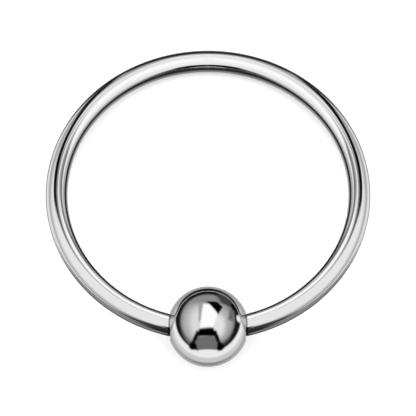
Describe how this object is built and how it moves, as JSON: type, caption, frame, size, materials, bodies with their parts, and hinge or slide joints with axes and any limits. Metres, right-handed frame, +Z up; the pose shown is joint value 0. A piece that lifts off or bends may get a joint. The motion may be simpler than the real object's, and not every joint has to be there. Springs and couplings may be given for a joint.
{
  "type": "captive bead ring",
  "caption": "Polished steel wire hoop whose ends grip a dimpled ball, which spins in place and pops out to open the ring for a piercing.",
  "frame": {"origin": "on the surface that the ring lies on, under the middle of the part's box", "axes": "+Z up from the surface, the ball towards -Y, +X along the axis that the ball spins on"},
  "size_m": [0.0122, 0.013, 0.003],
  "materials": {
    "wire_steel": "mirror-polished 316L stainless steel wire",
    "ball_steel": "ground and mirror-polished 316L stainless steel ball"
  },
  "bodies": {
    "hoop": {"hoop": "wire_steel"},
    "bead": {"bead": "ball_steel"}
  },
  "joints": [
    {"name": "bead_spin", "type": "hinge", "parent": "hoop", "child": "bead", "pos_m": [0, -0.00502, 0.0015], "axis": [1, 0, 0], "continuous": true}
  ]
}
